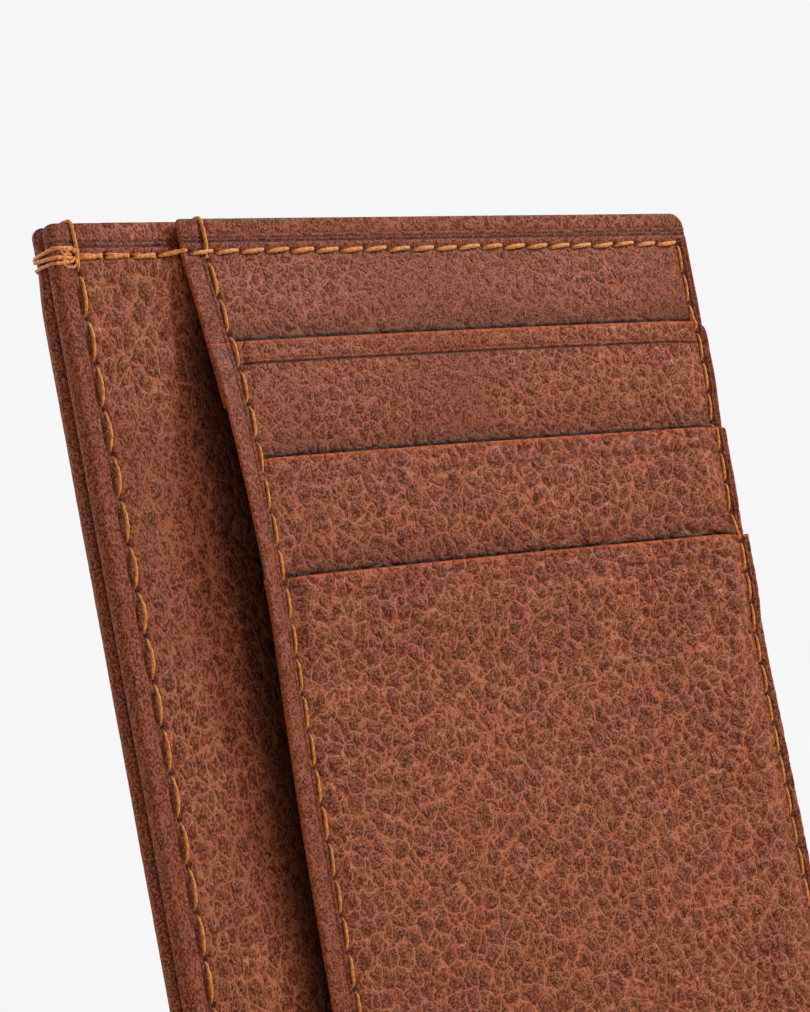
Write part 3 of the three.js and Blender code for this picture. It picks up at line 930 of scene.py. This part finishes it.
def tack(node, name, z_middle, seed):
    """Strands wound round the left edge of both leaves, with a small knot on the front."""
    rng = np.random.default_rng(seed)
    tubes = []
    front, back = DIVIDER_FRONT + 0.12, -0.12
    fine = np.linspace(0, 1, 41)
    strands = (0.55, -0.3, 0.18, 2.9), (0.05, 0.25, 0.19, 2.7), (-0.6, -0.1, 0.15, 1.9)
    for offset, lean, size, reach in strands:
        half = [LEFT + inward for inward in (reach, 1.4, 0.5, 0.04, -0.06)]
        depths = [front + off for off in (-0.5, 0, -0.02, -0.3, -0.9)]
        depths += [back + off for off in (0.9, 0.3, 0.02, 0, 0.4)]
        t = np.linspace(0, 1, len(depths))
        x = np.interp(fine, t, half + half[::-1])
        depth = np.interp(fine, t, depths)
        z = z_middle + offset + lean * (2 * fine - 1) + 0.05 * np.sin(fine * 9 + rng.random() * 6)
        path = place(x, depth, z)
        smooth = path.copy()
        smooth[1:-1] = (path[:-2] + 2 * path[1:-1] + path[2:]) / 4
        tubes.append(tube(smooth, np.full(len(fine), size)))
    for k in range(5):
        turn = np.linspace(0, 4.2, 19) + rng.random() * 6
        wide, tall = 0.5 + 0.25 * rng.random(), 0.28 + 0.3 * rng.random()
        x = LEFT + 1.8 + 0.35 * rng.normal() + wide * np.cos(turn)
        z = z_middle + 0.1 + 0.25 * rng.normal() + tall * np.sin(turn)
        depth = front + 0.08 + 0.14 * np.sin(turn * 1.5 + k)
        tubes.append(tube(place(x, depth, z), np.full(len(turn), 0.13)))
    bundle(name, node, tubes)


tack("top_corner_tack", "top_corner_knot", SEAM_TOP, 17)
tack("bottom_corner_tack", "bottom_corner_knot", SEAM_BOTTOM, 18)

# ---------------------------------------------------------------- floor, light and camera


def floor(radius=0.9, sides=96):
    mesh = bpy.data.meshes.new("floor")
    angles = np.linspace(0, 2 * math.pi, sides + 1)[:-1]
    rim = [(radius * math.cos(a), radius * math.sin(a), 0) for a in angles]
    mesh.from_pydata(rim, [], [list(range(sides))])
    look = Look("pale_floor")
    look.shader.inputs["Base Color"].default_value = rgb(238, 238, 238)
    look.shader.inputs["Roughness"].default_value = 0.8
    mesh.materials.append(look.material)
    piece = bpy.data.objects.new("floor", mesh)
    bpy.context.scene.collection.objects.link(piece)


floor()


LIT = Vector((0, 0, 0.075))  # the place on the wallet that the lights aim at


def area_light(name, location, size, power):
    light = bpy.data.lights.new(name, "AREA")
    light.shape, light.size, light.energy = "SQUARE", size, power
    lamp = bpy.data.objects.new(name, light)
    lamp.location = location
    lamp.rotation_mode = "QUATERNION"
    lamp.rotation_quaternion = (LIT - Vector(location)).to_track_quat("-Z", "Y")
    bpy.context.scene.collection.objects.link(lamp)


area_light("key", (0.42, -0.30, 0.42), 0.16, 3.4)
area_light("fill", (-0.30, -0.40, 0.28), 0.40, 0.6)
area_light("back", (-0.25, 0.55, 0.40), 0.40, 2.6)

# The camera sees a pale grey, and the wallet is lit by a weaker one
world = bpy.data.worlds.new("studio")
bpy.context.scene.world = world
world.use_nodes = True
nodes, links = world.node_tree.nodes, world.node_tree.links
sky = nodes["Background"]
sky.inputs["Color"].default_value = rgb(246, 246, 246)
seen = nodes.new("ShaderNodeLightPath")
amount = nodes.new("ShaderNodeMapRange")
amount.inputs["To Min"].default_value = 0.21
links.new(seen.outputs["Is Camera Ray"], amount.inputs["Value"])
links.new(amount.outputs[0], sky.inputs["Strength"])
bpy.context.scene.view_settings.view_transform = "Standard"

# The photograph's viewing angle in degrees, the distance in metres, the lens in mm, and what it aims at
AZIMUTH, ELEVATION, ROLL, DISTANCE, LENS = -44.05, -6.80, -10.86, 0.3965, 152.2
AIM = Vector((-0.0009, 0.00273, 0.08264))
a, e, r = (math.radians(v) for v in (AZIMUTH, ELEVATION, ROLL))
away = Vector((math.sin(a) * math.cos(e), -math.cos(a) * math.cos(e), math.sin(e)))
level = Vector((math.cos(a), math.sin(a), 0))
upright = away.cross(level)
right = level * math.cos(r) + upright * math.sin(r)
up = upright * math.cos(r) - level * math.sin(r)
camera = bpy.data.objects.new("camera", bpy.data.cameras.new("camera"))
camera.data.lens, camera.data.sensor_width = LENS, 36
camera.data.clip_start = 0.01
turned = Matrix((right, up, away)).transposed().to_4x4()
camera.matrix_world = Matrix.Translation(AIM + away * DISTANCE) @ turned
bpy.context.scene.collection.objects.link(camera)
bpy.context.scene.camera = camera
